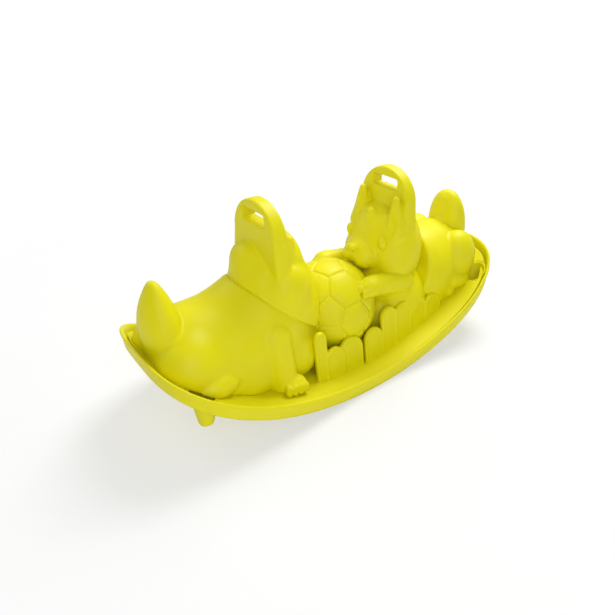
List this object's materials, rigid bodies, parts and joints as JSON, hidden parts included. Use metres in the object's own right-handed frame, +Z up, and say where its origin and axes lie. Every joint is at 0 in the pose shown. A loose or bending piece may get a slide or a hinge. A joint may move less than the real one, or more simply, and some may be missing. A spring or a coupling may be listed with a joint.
{
  "type": "seesaw",
  "caption": "Long curved moulded tray that rocks end to end, with two seated dog figures facing a football, arched hand-slot handles and backrest tails.",
  "frame": {"origin": "on the ground under the middle of the tray, where the rocking edge touches it when level", "axes": "+X along the tray towards the seated dog, +Y across the tray to the rear, +Z up"},
  "size_m": [1.1, 0.44, 0.512],
  "materials": {
    "body_plastic": "satin yellow-green moulded polyethylene, fine grain"
  },
  "bodies": {
    "root": {"rocker_band": "body_plastic", "deck_panel": "body_plastic", "stop_leg_left_front": "body_plastic", "stop_leg_left_rear": "body_plastic", "stop_leg_right_front": "body_plastic", "stop_leg_right_rear": "body_plastic", "ball": "body_plastic", "ball_leaves_front": "body_plastic", "ball_leaves_rear": "body_plastic", "chest_leaves_front": "body_plastic", "chest_leaves_rear": "body_plastic", "left_body": "body_plastic", "left_head": "body_plastic", "left_tail": "body_plastic", "left_haunch_front": "body_plastic", "left_haunch_rear": "body_plastic", "left_foreleg_front": "body_plastic", "left_foreleg_rear": "body_plastic", "right_body": "body_plastic", "right_chest": "body_plastic", "right_head": "body_plastic", "right_muzzle": "body_plastic", "right_ear_front": "body_plastic", "right_ear_rear": "body_plastic", "right_tail": "body_plastic", "right_haunch_front": "body_plastic", "right_haunch_rear": "body_plastic", "right_foreleg_front": "body_plastic", "right_foreleg_rear": "body_plastic"}
  },
  "joints": []
}
